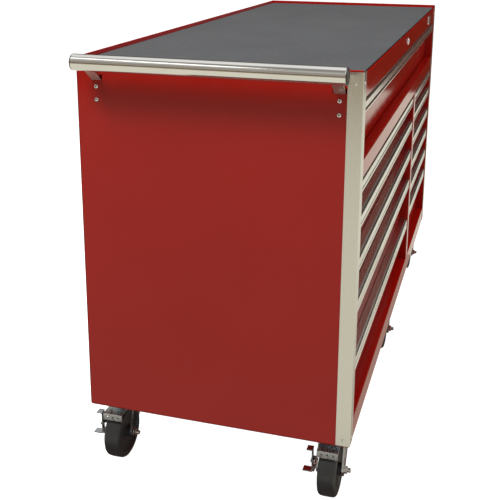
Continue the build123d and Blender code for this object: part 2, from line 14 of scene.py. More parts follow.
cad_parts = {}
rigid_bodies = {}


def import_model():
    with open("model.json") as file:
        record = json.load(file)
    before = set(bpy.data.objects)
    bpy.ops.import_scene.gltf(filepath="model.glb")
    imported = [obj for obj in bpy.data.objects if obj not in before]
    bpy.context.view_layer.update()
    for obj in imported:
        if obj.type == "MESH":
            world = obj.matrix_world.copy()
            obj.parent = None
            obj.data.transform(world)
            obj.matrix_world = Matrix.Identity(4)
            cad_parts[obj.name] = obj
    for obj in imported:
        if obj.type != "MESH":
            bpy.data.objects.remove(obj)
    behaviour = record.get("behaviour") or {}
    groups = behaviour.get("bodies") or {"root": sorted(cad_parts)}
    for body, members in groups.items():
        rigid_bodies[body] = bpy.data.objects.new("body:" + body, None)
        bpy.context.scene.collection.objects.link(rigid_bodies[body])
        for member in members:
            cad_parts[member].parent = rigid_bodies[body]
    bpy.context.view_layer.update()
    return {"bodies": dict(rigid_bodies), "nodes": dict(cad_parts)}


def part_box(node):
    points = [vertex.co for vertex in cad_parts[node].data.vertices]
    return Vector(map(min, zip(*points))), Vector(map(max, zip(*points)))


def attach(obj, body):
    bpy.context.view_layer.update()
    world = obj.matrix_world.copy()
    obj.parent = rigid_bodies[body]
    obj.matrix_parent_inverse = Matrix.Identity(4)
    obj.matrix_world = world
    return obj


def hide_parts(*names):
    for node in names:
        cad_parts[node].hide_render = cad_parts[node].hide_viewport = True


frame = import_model()

# ---------------------------------------------------------------- sizes
mm = 0.001
sheet = 1.5 * mm
bend = 2.2 * mm
edge_softness = 0.35 * mm
large_face_weight = 90  # in shared normals, out of 100
flange_depth = 40 * mm
hem_depth = 4 * mm
hem_gap = 5 * mm
lid_lip = 4 * mm
lid_clearance = 0.5 * mm
mat_gap = 1.0 * mm
mat_thickness = 3 * mm
mat_clearance = 0.1 * mm
shelf_depth = 60 * mm
lip_depth = 28 * mm

face_radius = 2.6 * mm
face_depth = 16 * mm
face_side_gap = 2 * mm
box_side_gap = 13 * mm
box_floor_rise = 6 * mm
box_top_drop = 14 * mm
tray_hem_radius = 2.2 * mm
tray_hem_bulge = 1.3 * mm
pull_end_gap = 1 * mm
runner_rise = 24 * mm
runner_height = 31 * mm
runner_length = 600 * mm
rail_sheet = 1.2 * mm
rail_depth = 7 * mm
rail_height = 35 * mm
rail_length = 610 * mm

trim_sheet = 1.2 * mm
trim_width = 38 * mm
rivet_edge = 18 * mm
handle_radius = 21 * mm
handle_wall = 2 * mm
cap_thickness = 3 * mm
bracket_width = 28 * mm
bracket_thickness = 6 * mm
bracket_bend_rise = 67 * mm
bracket_screw_rises = (15 * mm, 49 * mm)
bracket_slot_bottom = 66.5 * mm
bracket_slot_top = 80 * mm
bracket_slot_margin = 3 * mm
badge_width = 94 * mm
badge_height = 32 * mm
badge_from_middle = 718 * mm
plate_thickness = 5 * mm
plate_half_length = 57 * mm
plate_half_width = 51 * mm
bolt_from_middle_x = 46 * mm
bolt_from_middle_y = 33.35 * mm
swivel_trail = 42 * mm
axle_end = 55 * mm
axle_radius = 6 * mm
leg_outside = 37.5 * mm


# ---------------------------------------------------------------- places, from the frame
def low(node):
    """Lowest corner of a CAD node's box."""
    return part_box(node)[0]


def high(node):
    """Highest corner of a CAD node's box."""
    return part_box(node)[1]


left = low("left_side_panel").x
right = high("right_side_panel").x
front = low("header_rail").y
rear = high("back_panel").y
floor = low("bottom_pan").z
top = high("top_panel").z
deck = high("top_mat").z
lid_underside = low("top_panel").z
panel_bottom = low("left_side_panel").z
bay_left = low("header_rail").x
bay_right = high("header_rail").x
divider_left = low("center_divider").x
divider_right = high("center_divider").x
drawers = sorted(name for name in frame["bodies"] if "_drawer" in name)
swivels = ["front_left", "rear_left", "front_right", "rear_right"]
rigids = ["front_middle", "rear_middle"]


# ---------------------------------------------------------------- outlines
def arc_points(centre, radius, start, turn, step=math.radians(15)):
    """Points on an arc, both ends included."""
    count = max(2, math.ceil(abs(turn) / step))
    angles = [start + turn * i / count for i in range(count + 1)]
    return [centre + radius * Vector((math.cos(angle), math.sin(angle))) for angle in angles]


def in_mm(points):
    """Points whose coordinates are written in millimetres."""
    return [tuple(value * mm for value in point) for point in points]


def rounded(corners, closed=True):
    """Outline through (a, b, radius) corners, each corner rounded to its radius."""
    points = []
    count = len(corners)
    for i, (a, b, radius) in enumerate(corners):
        here = Vector((a, b))
        if radius <= 0 or (not closed and i in (0, count - 1)):
            points.append(here)
            continue
        before = (Vector(corners[i - 1][:2]) - here).normalized()
        after = (Vector(corners[(i + 1) % count][:2]) - here).normalized()
        half = before.angle(after) / 2
        centre = here + (before + after).normalized() * (radius / math.sin(half))
        first = here + before * (radius / math.tan(half)) - centre
        last = here + after * (radius / math.tan(half)) - centre
        start = math.atan2(first.y, first.x)
        turn = (math.atan2(last.y, last.x) - start + math.pi) % (2 * math.pi) - math.pi
        points.extend(arc_points(centre, radius, start, turn))
    return points


def strip(corners, thickness):
    """Outline of a folded sheet whose middle line runs through (a, b, radius) corners."""
    line = rounded(corners, closed=False)
    one_side, other_side = [], []
    for i, here in enumerate(line):
        along = Vector((0, 0))
        if i > 0:
            along += (here - line[i - 1]).normalized()
        if i < len(line) - 1:
            along += (line[i + 1] - here).normalized()
        along.normalize()
        reference = (line[i + 1] - here) if i < len(line) - 1 else (here - line[i - 1])
        half = thickness / 2 / max(0.5, along.dot(reference.normalized()))
        across = Vector((-along.y, along.x)) * half
        one_side.append(here + across)
        other_side.append(here - across)
    return one_side + other_side[::-1]


def rectangle(a_low, a_high, b_low, b_high, radius):
    """Rounded rectangle as an outline with the same number of points for any size."""
    corners = ((a_high, b_low, -90), (a_high, b_high, 0), (a_low, b_high, 90), (a_low, b_low, 180))
    points = []
    for a, b, start in corners:
        centre = Vector((
            a - radius if a == a_high else a + radius,
            b - radius if b == b_high else b + radius,
        ))
        points.extend(arc_points(centre, radius, math.radians(start), math.pi / 2, math.pi / 8))
    return points


# ---------------------------------------------------------------- mesh builders
def along_x(a, b, t):
    """Place of outline point (a, b) in a section across X, at x = t."""
    return Vector((t, a, b))


def along_y(a, b, t):
    """Place of outline point (a, b) in a section across Y, at y = t."""
    return Vector((a, t, b))


def along_z(a, b, t):
    """Place of outline point (a, b) in a section across Z, at z = t."""
    return Vector((a, b, t))


def section(outline, direction, t):
    """Ring of points: an outline placed at one position along an axis."""
    return [direction(point[0], point[1], t) for point in outline]


def loft(bm, rings, loop=False):
    """Closed skin over rings of points, each ring with the same number of points."""
    made = [[bm.verts.new(point) for point in ring] for ring in rings]
    pairs = list(zip(made, made[1:]))
    if loop:
        pairs.append((made[-1], made[0]))
    for one, other in pairs:
        for i in range(len(one)):
            j = (i + 1) % len(one)
            bm.faces.new((one[i], one[j], other[j], other[i]))
    if not loop:
        bm.faces.new(made[0][::-1])
        bm.faces.new(made[-1])


def prism(bm, outline, direction, start, end):
    """Solid of one outline between two positions along an axis."""
    loft(bm, [section(outline, direction, start), section(outline, direction, end)])


def lathe(bm, profile, centre, axis, segments):
    """Solid of revolution; the profile is (radius, distance along the axis) points."""
    turn = Vector((0, 0, 1)).rotation_difference(Vector(axis)).to_matrix()
    rings = []
    for radius, distance in profile:
        rings.append([
            Vector(centre) + turn @ Vector((
                radius * math.cos(2 * math.pi * i / segments),
                radius * math.sin(2 * math.pi * i / segments),
                distance,
            ))
            for i in range(segments)
        ])
    loft(bm, rings)


def tube(bm, profile, centre, axis, segments):
    """Ring of revolution: the profile is a closed outline of (radius, distance) points."""
    turn = Vector((0, 0, 1)).rotation_difference(Vector(axis)).to_matrix()
    rings = []
    for i in range(segments):
        angle = 2 * math.pi * i / segments
        rings.append([
            Vector(centre) + turn @ Vector((r * math.cos(angle), r * math.sin(angle), d))
            for r, d in profile
        ])
    loft(bm, rings, loop=True)


def block(bm, low_corner, high_corner, radius=0.0):
    """Box between two corners; its four edges along Z are rounded if a radius is given."""
    x_low, y_low, z_low = low_corner
    x_high, y_high, z_high = high_corner
    outline = [(x_low, y_low), (x_high, y_low), (x_high, y_high), (x_low, y_high)]
    if radius > 0:
        outline = rectangle(x_low, x_high, y_low, y_high, radius)
    prism(bm, outline, along_z, z_low, z_high)


def hexagon(bm, centre, axis, radius, length, chamfer):
    """Hexagonal head or nut with its outer corners chamfered."""
    profile = [(radius, 0), (radius, length - chamfer), (radius - 1.5 * chamfer, length)]
    lathe(bm, profile, centre, axis, 6)


def soften(bm, width, angle=math.radians(40), segments=2):
    """Round every edge that is sharper than the angle."""
    bmesh.ops.recalc_face_normals(bm, faces=bm.faces)
    sharp = [e for e in bm.edges if e.is_manifold and e.calc_face_angle(0) > angle]
    bmesh.ops.bevel(bm, geom=sharp, offset=width, segments=segments, profile=0.6,
                    affect="EDGES", clamp_overlap=True)


def add_part(bm, part):
    """Move everything of one bmesh into another."""
    mesh = bpy.data.meshes.new("part")
    part.to_mesh(mesh)
    part.free()
    bm.from_mesh(mesh)
    bpy.data.meshes.remove(mesh)


def from_cad(bm, node, left_out=None):
    """Copy the CAD node's solids, welded and with flat areas joined into single faces.

    Faces whose centre answers to left_out are not copied.
    """
    copy = bmesh.new()
    copy.from_mesh(frame["nodes"][node].data)
    bmesh.ops.remove_doubles(copy, verts=copy.verts, dist=0.01 * mm)
    bmesh.ops.dissolve_limit(copy, angle_limit=math.radians(1), verts=copy.verts, edges=copy.edges)
    if left_out:
        dropped = [face for face in copy.faces if left_out(face.calc_center_median())]
        bmesh.ops.delete(copy, geom=dropped, context="FACES")
    add_part(bm, copy)


def linked_object(name, bm, material):
    """Turn a finished bmesh into an object in the scene."""
    mesh = bpy.data.meshes.new(name)
    bm.to_mesh(mesh)
    bm.free()
    mesh.materials.append(material)
    made = bpy.data.objects.new(name, mesh)
    bpy.context.scene.collection.objects.link(made)
    return made


def piece(name, bm, material, body, replaces=(), smooth=math.radians(38)):
    """Turn a finished bmesh into a piece that rides on a body."""
    bmesh.ops.recalc_face_normals(bm, faces=bm.faces)
    made = linked_object(name, bm, material)
    made.data.shade_smooth()
    made.data.set_sharp_from_angle(angle=smooth)
    weighted = made.modifiers.new("flat_faces_stay_flat", "WEIGHTED_NORMAL")
    weighted.keep_sharp = True
    weighted.weight = large_face_weight
    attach(made, body)
    if replaces:
        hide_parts(*replaces)
    return made


def cut(made, cutter_bm):
    """Cut the shapes of a bmesh out of a finished piece."""
    bmesh.ops.recalc_face_normals(cutter_bm, faces=cutter_bm.faces)
    mesh = bpy.data.meshes.new("cutter")
    cutter_bm.to_mesh(mesh)
    cutter_bm.free()
    cutter = bpy.data.objects.new("cutter", mesh)
    bpy.context.scene.collection.objects.link(cutter)
    boolean = made.modifiers.new("cut", "BOOLEAN")
    boolean.operation = "DIFFERENCE"
    boolean.solver = "EXACT"
    boolean.object = cutter
    graph = bpy.context.evaluated_depsgraph_get()
    result = bpy.data.meshes.new_from_object(made.evaluated_get(graph))
    made.modifiers.remove(boolean)
    made.data = result
    bpy.data.objects.remove(cutter)


# ---------------------------------------------------------------- materials
# Nearly all values of a noise texture fall in this range.
noise_low, noise_high = 0.3, 0.7


def new_material(name, **values):
    """Node material with a Principled shader; values are set on the shader's own sockets."""
    material = bpy.data.materials.new(name)
    material.use_nodes = True
    shader = material.node_tree.nodes["Principled BSDF"]
    for socket, value in values.items():
        shader.inputs[socket.replace("_", " ")].default_value = value
    return material, material.node_tree, shader


def noise(tree, scale, detail, stretch=(1, 1, 1)):
    """Noise in object space, stretched along the axes."""
    place = tree.nodes.new("ShaderNodeTexCoord")
    mapping = tree.nodes.new("ShaderNodeMapping")
    mapping.inputs["Scale"].default_value = stretch
    texture = tree.nodes.new("ShaderNodeTexNoise")
    texture.inputs["Scale"].default_value = scale
    texture.inputs["Detail"].default_value = detail
    tree.links.new(place.outputs["Object"], mapping.inputs["Vector"])
    tree.links.new(mapping.outputs["Vector"], texture.inputs["Vector"])
    return texture.outputs["Fac"]


def spread(tree, value, low_value, high_value):
    """Map a noise value onto a range."""
    node = tree.nodes.new("ShaderNodeMapRange")
    node.inputs["From Min"].default_value = noise_low
    node.inputs["From Max"].default_value = noise_high
    node.inputs["To Min"].default_value = low_value
    node.inputs["To Max"].default_value = high_value
    tree.links.new(value, node.inputs["Value"])
    return node.outputs["Result"]


def ramp(tree, value, stops):
    """Colour that changes with a value, from (position, colour) stops."""
    node = tree.nodes.new("ShaderNodeValToRGB")
    elements = node.color_ramp.elements
    for position, _ in stops[2:]:
        elements.new(position)
    for element, (position, color) in zip(elements, stops):
        element.position = position
        element.color = (*color, 1)
    tree.links.new(value, node.inputs["Fac"])
    return node.outputs["Color"]


def tint(tree, value, one, other):
    """Blend two colours by a noise value."""
    return ramp(tree, value, [(noise_low, one), (noise_high, other)])


def bump(tree, shader, value, distance, strength, below=None):
    """Relief from a noise value, over an earlier relief if there is one."""
    node = tree.nodes.new("ShaderNodeBump")
    node.inputs["Strength"].default_value = strength
    node.inputs["Distance"].default_value = distance
    tree.links.new(value, node.inputs["Height"])
    if below is not None:
        tree.links.new(below, node.inputs["Normal"])
    tree.links.new(node.outputs["Normal"], shader.inputs["Normal"])
    return node.outputs["Normal"]


def red_paint():
    """Glossy powder coat: deep red, a faint orange peel and slight changes of gloss."""
    material, tree, shader = new_material("red_powder_coat", IOR=1.38, Roughness=0.12)
    shade = tint(tree, noise(tree, 2.2, 4), (0.290, 0.0035, 0.0012), (0.312, 0.0045, 0.0018))
    tree.links.new(shade, shader.inputs["Base Color"])
    tree.links.new(spread(tree, noise(tree, 14, 5), 0.10, 0.16), shader.inputs["Roughness"])
    bump(tree, shader, noise(tree, 420, 2), 0.00001, 0.25)
    return material


def grey_mat():
    """Matt rubber-backed mat with a fine pebbled grain."""
    material, tree, shader = new_material("pebbled_mat", Roughness=0.8, IOR=1.45, Specular_IOR_Level=0.2)
    blotches = tint(tree, noise(tree, 5, 6), (0.054, 0.055, 0.057), (0.062, 0.063, 0.065))
    tree.links.new(blotches, shader.inputs["Base Color"])
    cells = tree.nodes.new("ShaderNodeTexVoronoi")
    cells.inputs["Scale"].default_value = 620
    place = tree.nodes.new("ShaderNodeTexCoord")
    tree.links.new(place.outputs["Object"], cells.inputs["Vector"])
    pebbles = bump(tree, shader, cells.outputs["Distance"], 0.0004, 0.6)
    bump(tree, shader, noise(tree, 1500, 2), 0.0001, 0.5, below=pebbles)
    tree.links.new(spread(tree, noise(tree, 60, 3), 0.70, 0.88), shader.inputs["Roughness"])
    return material


def brushed_steel(name, stretch, color, rough_low, rough_high, relief):
    """Stainless sheet with a straight grain along one axis."""
    material, tree, shader = new_material(name, Metallic=1.0)
    grain = noise(tree, 1.0, 4, stretch)
    other = tuple(0.94 * c for c in color)
    tree.links.new(tint(tree, grain, other, color), shader.inputs["Base Color"])
    tree.links.new(spread(tree, grain, rough_low, rough_high), shader.inputs["Roughness"])
    bump(tree, shader, grain, 0.00002, relief)
    return material


def polished_steel():
    """Polished tube: faint drawing lines round it and slight changes of tone."""
    material, tree, shader = new_material("polished_tube", Metallic=1.0)
    smudges = tint(tree, noise(tree, 6, 5), (0.70, 0.69, 0.66), (0.78, 0.77, 0.74))
    drawing_lines = spread(tree, noise(tree, 1.0, 4, (30, 900, 30)), 0.09, 0.12)
    tree.links.new(smudges, shader.inputs["Base Color"])
    tree.links.new(drawing_lines, shader.inputs["Roughness"])
    bump(tree, shader, noise(tree, 1.0, 3, (40, 700, 40)), 0.00001, 0.03)
    return material


def plated(name, one, other, rough_low, rough_high):
    """Plated steel whose tone and gloss change a little over the surface."""
    material, tree, shader = new_material(name, Metallic=1.0)
    tree.links.new(tint(tree, noise(tree, 35, 5), one, other), shader.inputs["Base Color"])
    gloss = spread(tree, noise(tree, 87.5, 4), rough_low, rough_high)
    tree.links.new(gloss, shader.inputs["Roughness"])
    bump(tree, shader, noise(tree, 900, 2), 0.00001, 0.05)
    return material


def moulded(name, one, other, rough_low, rough_high, scale=700, depth=0.00005):
    """Moulded plastic or rubber with a fine matt grain."""
    material, tree, shader = new_material(name, IOR=1.5)
    tree.links.new(tint(tree, noise(tree, 18, 5), one, other), shader.inputs["Base Color"])
    tree.links.new(spread(tree, noise(tree, 40, 4), rough_low, rough_high), shader.inputs["Roughness"])
    bump(tree, shader, noise(tree, scale, 2), depth, 0.5)
    return material


paint = red_paint()
mat_rubber = grey_mat()
stainless = brushed_steel("brushed_stainless", (900, 900, 7), (0.66, 0.655, 0.60), 0.20, 0.30, 0.12)
bracket_steel = brushed_steel("bracket_stainless", (700, 12, 700), (0.62, 0.61, 0.58), 0.18, 0.30, 0.2)
aluminium = brushed_steel("satin_aluminium", (6, 900, 900), (0.74, 0.735, 0.70), 0.23, 0.27, 0.01)
tube_steel = polished_steel()
zinc = plated("zinc_plate", (0.52, 0.56, 0.60), (0.66, 0.70, 0.73), 0.16, 0.30)
bright_steel = plated("bright_plate", (0.66, 0.66, 0.64), (0.78, 0.78, 0.76), 0.12, 0.22)
lock_chrome = plated("lock_chrome", (0.78, 0.78, 0.76), (0.86, 0.86, 0.84), 0.05, 0.12)
black_plastic = moulded("black_plastic", (0.016, 0.016, 0.017), (0.026, 0.026, 0.027), 0.30, 0.42)
tread = moulded("black_tread", (0.020, 0.020, 0.020), (0.030, 0.030, 0.029), 0.34, 0.50, 260, 0.0001)
liner_rubber = moulded("liner_rubber", (0.030, 0.031, 0.032), (0.045, 0.046, 0.047), 0.55, 0.75)


# ---------------------------------------------------------------- case
def side_panel(name, node, outer, inward):
    """Double-bent side sheet; the slots for the handle's brackets are cut at the handle end."""
    middle = outer + inward * sheet / 2
    path = [
        (outer + inward * flange_depth, front + sheet / 2, 0),
        (middle, front + sheet / 2, bend),
        (middle, rear - 1.5 * sheet, bend),
        (outer + inward * flange_depth / 2, rear - 1.5 * sheet, 0),
    ]
    bm = bmesh.new()
    prism(bm, strip(path, sheet), along_z, panel_bottom, lid_underside)
    soften(bm, edge_softness)
    made = piece(name, bm, paint, "cabinet", [node])
    if outer == left:
        cutter = bmesh.new()
        foot_low = low("handle_brackets").z
        half = bracket_width / 2 + bracket_slot_margin
        for y in bracket_places():
            slot_low = (outer - 5 * mm, y - half, foot_low + bracket_slot_bottom)
            slot_high = (outer + 5 * mm, y + half, foot_low + bracket_slot_top)
            block(cutter, slot_low, slot_high)
        cut(made, cutter)


def bracket_places():
    """Depth of the middle of each handle bracket."""
    half = bracket_width / 2
    return [low("handle_brackets").y + half, high("handle_brackets").y - half]


def hem_path(bottom):
    """Middle line of the folded hem along the front of the lid, from a height upwards."""
    return [
        (front + sheet / 2, bottom, 0),
        (front + sheet / 2, deck - sheet / 2, 1.2 * mm),
        (front + hem_depth - sheet / 2, deck - sheet / 2, 1.2 * mm),
        (front + hem_depth - sheet / 2, lid_underside, 0),
    ]


def lid():
    """Lid sheet with an upstanding lip round its sides and rear, and the ends of the front hem."""
    bm = bmesh.new()
    sheet_low = (left + lid_clearance, front + hem_depth + hem_gap, lid_underside)
    sheet_high = (right - lid_clearance, rear - lid_clearance, deck - mat_thickness - mat_clearance)
    block(bm, sheet_low, sheet_high)
    half = lid_lip / 2
    path = [
        (left + half, front, 0), (left + half, rear - half, 5 * mm),
        (right - half, rear - half, 5 * mm), (right - half, front, 0),
    ]
    prism(bm, strip(path, lid_lip), along_z, lid_underside, top)
    soften(bm, 1.3 * mm, segments=3)
    for start, end in ((left + lid_lip, bay_left), (bay_right, right - lid_lip)):
        prism(bm, strip(hem_path(lid_underside), sheet), along_x, start, end)
    piece("lid", bm, paint, "cabinet", ["top_panel"])


def mat():
    """Mat laid between the lips, with its edge slightly rounded."""
    bm = bmesh.new()
    margin = lid_lip + mat_gap
    rings = []
    for inset, drop in in_mm([(0, 2.9), (0, 1.0), (0.25, 0.45), (0.9, 0.1), (1.8, 0.0)]):
        outline = rectangle(
            left + margin + inset, right - margin - inset,
            front + hem_depth + hem_gap + inset, rear - margin - inset, 4 * mm,
        )
        rings.append(section(outline, along_z, deck - drop))
    loft(bm, rings)
    piece("work_mat", bm, mat_rubber, "cabinet", ["top_mat"])


def rail(name, node, corners):
    """Folded rail across the front; corners are (y, z, radius) of its middle line."""
    bm = bmesh.new()
    prism(bm, strip(corners, sheet), along_x, bay_left, bay_right)
    soften(bm, edge_softness)
    piece(name, bm, paint, "cabinet", [node])


def front_rails():
    """Header, middle and base rails."""
    web = front + sheet / 2
    header = low("header_rail").z + sheet / 2
    rail("header", "header_rail", [
        (front + lip_depth, header, 0), (web, header, bend), *hem_path(header)[1:],
    ])
    bottom, shelf = low("mid_rail").z + sheet / 2, high("mid_rail").z - sheet / 2
    rail("middle_rail", "mid_rail", [
        (front + lip_depth, bottom, 0), (web, bottom, bend), (web, shelf, bend),
        (front + shelf_depth, shelf, 0),
    ])
    shelf = high("base_rail").z - sheet / 2
    rail("lower_rail", "base_rail", [
        (web, low("base_rail").z, 0), (web, shelf, bend), (front + shelf_depth, shelf, 0),
    ])


def divider():
    """Channel between the two drawer banks."""
    one, other = divider_left + sheet / 2, divider_right - sheet / 2
    path = [
        (one, rear - 2 * sheet, 0), (one, front + sheet / 2, bend),
        (other, front + sheet / 2, bend), (other, rear - 2 * sheet, 0),
    ]
    bm = bmesh.new()
    prism(bm, strip(path, sheet), along_z, low("center_divider").z, high("center_divider").z)
    soften(bm, edge_softness)
    piece("divider", bm, paint, "cabinet", ["center_divider"])


def plain_sheets():
    """Inner walls and floor pan with softened edges, and the back with a slightly raised field."""
    for name, node in (("slide_walls", "inner_walls"), ("floor_pan", "bottom_pan")):
        bm = bmesh.new()
        from_cad(bm, node)
        soften(bm, edge_softness)
        piece(name, bm, paint, "cabinet", [node])
    bm = bmesh.new()
    rings = []
    for inset, depth in in_mm([(0, 1.5), (0, 1.0), (0.6, 0.6), (24, 0.6), (26, 0), (60, 0)]):
        z_low, z_high = panel_bottom + inset, lid_underside - inset
        outline = rectangle(left + inset, right - inset, z_low, z_high, 1.5 * mm)
        rings.append(section(outline, along_y, rear - depth))
    loft(bm, rings)
    piece("back_sheet", bm, paint, "cabinet", ["back_panel"])


def corner_trims():
    """Stainless angle down each front corner."""
    bm = bmesh.new()
    for outer, inward in ((left, 1), (right, -1)):
        beside = outer - inward * trim_sheet / 2
        before = front - trim_sheet / 2
        path = [
            (beside, front - trim_sheet + trim_width, 0),
            (beside, before, 2.0 * mm),
            (outer + inward * trim_width, before, 0),
        ]
        prism(bm, strip(path, trim_sheet), along_z, low("corner_trims").z, high("corner_trims").z)
    soften(bm, 0.3 * mm)
    piece("corner_angles", bm, stainless, "cabinet", ["corner_trims"])


def blind_rivet(bm, place, axis):
    """Domed head with the dimple that the drawn mandrel leaves."""
    profile = [
        (3.6, -0.2), (3.6, 0.25), (3.3, 0.8), (2.6, 1.35),
        (1.7, 1.65), (1.2, 1.7), (1.0, 1.45), (0.95, 0.9),
    ]
    lathe(bm, in_mm(profile), place, axis, 24)


def rivets():
    """One rivet at each end of both flanges of each corner trim."""
    bm = bmesh.new()
    box_low, box_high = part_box("trim_rivets")
    head = 3.6 * mm
    for z in (box_low.z + head, box_high.z - head):
        for outer, inward in ((left, 1), (right, -1)):
            blind_rivet(bm, (outer - inward * trim_sheet, front + rivet_edge, z), (-inward, 0, 0))
            blind_rivet(bm, (outer + inward * rivet_edge, front - trim_sheet, z), (0, -1, 0))
    piece("rivet_heads", bm, bright_steel, "cabinet", ["trim_rivets"])


# ---------------------------------------------------------------- handle and lock
def handle():
    """Tube, end caps, bent brackets and their screws."""
    box_low, box_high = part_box("handle_tube")
    axis_x, axis_z = (box_low.x + box_high.x) / 2, (box_low.z + box_high.z) / 2
    length = box_high.y - box_low.y
    inner = handle_radius - handle_wall
    bm = bmesh.new()
    soft = 0.5 * mm
    tube(bm, [
        (handle_radius, soft), (handle_radius, length - soft), (handle_radius - soft, length),
        (inner, length), (inner, 0), (handle_radius - soft, 0),
    ], (axis_x, box_low.y, axis_z), (0, 1, 0), 96)
    piece("push_tube", bm, tube_steel, "cabinet", ["handle_tube"])

    bm = bmesh.new()
    plug = [(inner - 1 * mm, -14 * mm), (inner, -13 * mm), (inner, 0)]
    dome = [(0.2, 0), (0.2, 1.6), (0.9, 2.6), (2.2, cap_thickness / mm), (5, 2.6)]
    profile = plug + [(handle_radius - inset, out) for inset, out in in_mm(dome)] + [(6 * mm, 2.2 * mm)]
    for y, outward in ((box_low.y, -1), (box_high.y, 1)):
        lathe(bm, profile, (axis_x, y, axis_z), (0, outward, 0), 64)
    piece("tube_caps", bm, black_plastic, "cabinet", ["handle_end_caps"])
    brackets(axis_x, axis_z)
    screws()


def brackets(axis_x, axis_z):
    """Two flat bars that come out of the panel's slots and lean out to the tube's axis."""
    foot_x = left + sheet + bracket_thickness / 2
    foot_low = low("handle_brackets").z
    bend_z = foot_low + bracket_bend_rise
    arm = Vector((axis_x - foot_x, axis_z - bend_z))
    reach = arm.length - handle_radius + 1.0 * mm
    tip = Vector((foot_x, bend_z)) + arm.normalized() * reach
    bm = bmesh.new()
    for y in bracket_places():
        path = [(foot_x, foot_low, 0), (foot_x, bend_z, 9 * mm), (tip.x, tip.y, 0)]
        outline = strip(path, bracket_thickness)
        prism(bm, outline, along_y, y - bracket_width / 2, y + bracket_width / 2)
    soften(bm, 0.8 * mm, segments=3)
    piece("bent_brackets", bm, bracket_steel, "cabinet", ["handle_brackets"])


def screws():
    """Button-head screws through the brackets' feet: nuts inside, hexagon sockets outside, each with a
    black hexagon at its floor that is painted shade.
    """
    bm = bmesh.new()
    cutter = bmesh.new()
    socket_shade = bmesh.new()
    head = in_mm([(5.6, -0.1), (5.6, 0.5), (5.3, 1.5), (4.5, 2.5), (3.3, 3.2), (2.0, 3.5)])
    outward, inward = (-1, 0, 0), (1, 0, 0)
    for y in bracket_places():
        for rise in bracket_screw_rises:
            z = low("handle_brackets").z + rise
            lathe(bm, head, (left, y, z), outward, 32)
            hexagon(bm, (left + sheet + bracket_thickness, y, z), inward, 5.8 * mm, 5 * mm, 0.6 * mm)
            hexagon(cutter, (left - 0.4 * mm, y, z), outward, 2.3 * mm, 5 * mm, 0.1 * mm)
            # A black hexagon at the floor of each socket: painted shade in the recess.
            hexagon(socket_shade, (left - 0.5 * mm, y, z), outward, 2.2 * mm, 1.6 * mm, 0.1 * mm)
    piece("painted_socket_shade", socket_shade, black_plastic, "cabinet")
    made = piece("bracket_screws", bm, bright_steel, "cabinet", ["handle_screws"])
    cut(made, cutter)


def lock():
    """Lock flange and barrel, turning plug with its key slot, and the cam behind the barrel."""
    box_low, box_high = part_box("lock_housing")
    x, z = (box_low.x + box_high.x) / 2, (box_low.z + box_high.z) / 2
    radius = (box_high.x - box_low.x) / 2
    flange = front - box_low.y
    bore = 6.1 * mm
    place = (x, front, z)
    outward, inward = (0, -1, 0), (0, 1, 0)
    bm = bmesh.new()
    collar = [
        (bore, 0), (radius, 0), (radius, flange * 0.5), (radius - 0.5 * mm, flange * 0.85),
        (radius - 1.4 * mm, flange), (7.0 * mm, flange), (bore, flange * 0.7),
    ]
    tube(bm, collar, place, outward, 48)
    tube(bm, [(bore, 0), (9 * mm, 0), (9 * mm, 16 * mm), (bore, 16 * mm)], place, inward, 48)
    piece("lock_collar", bm, lock_chrome, "cabinet", ["lock_housing"])
    bm = bmesh.new()
    lathe(bm, in_mm([(6.0, -16.5), (6.0, 3.2), (5.6, 3.8), (5.0, 4.0)]), place, outward, 40)
    made = piece("lock_core", bm, lock_chrome, "lock_plug", ["lock_plug"])
    cutter = bmesh.new()
    slot_low = (x - 0.8 * mm, front - 6 * mm, z - 3.6 * mm)
    slot_high = (x + 0.8 * mm, front + 8 * mm, z + 3.6 * mm)
    block(cutter, slot_low, slot_high)
    cut(made, cutter)
    bm = bmesh.new()
    from_cad(bm, "lock_cam")
    soften(bm, 0.4 * mm)
    piece("lock_tongue", bm, zinc, "lock_plug", ["lock_cam"])


def badge():
    """Plain, unmarked nameplate on the header, near its far end."""
    x = (left + right) / 2 + badge_from_middle
    z = (low("header_rail").z + deck) / 2
    bm = bmesh.new()
    rings = []
    for inset, out in in_mm([(0, 0), (0, 1.4), (0.3, 2.0), (0.9, 2.4), (1.8, 2.5)]):
        half_width = badge_width / 2 - inset
        half_height = badge_height / 2 - inset
        corner = 6 * mm - 0.5 * inset
        outline = rectangle(x - half_width, x + half_width, z - half_height, z + half_height, corner)
        rings.append(section(outline, along_y, front - out))
    loft(bm, rings)
    piece("plain_badge", bm, aluminium, "cabinet")


# ---------------------------------------------------------------- drawers
def drawer_face(bm, x_low, x_high, z_low, z_high, face_y):
    """Drawer face with a generous radius round its front."""
    back = face_y + face_depth
    steps = 5
    levels = [(1.0 * mm, back), (0, back - 1 * mm)]
    for i in range(steps + 1):
        angle = math.pi / 2 * i / steps
        inset = face_radius * (1 - math.cos(angle))
        levels.append((inset, face_y + face_radius * (1 - math.sin(angle))))
    rings = []
    for inset, y in levels:
        outline = rectangle(x_low + inset, x_high - inset, z_low + inset, z_high - inset, 1.2 * mm)
        rings.append(section(outline, along_y, y))
    loft(bm, rings)


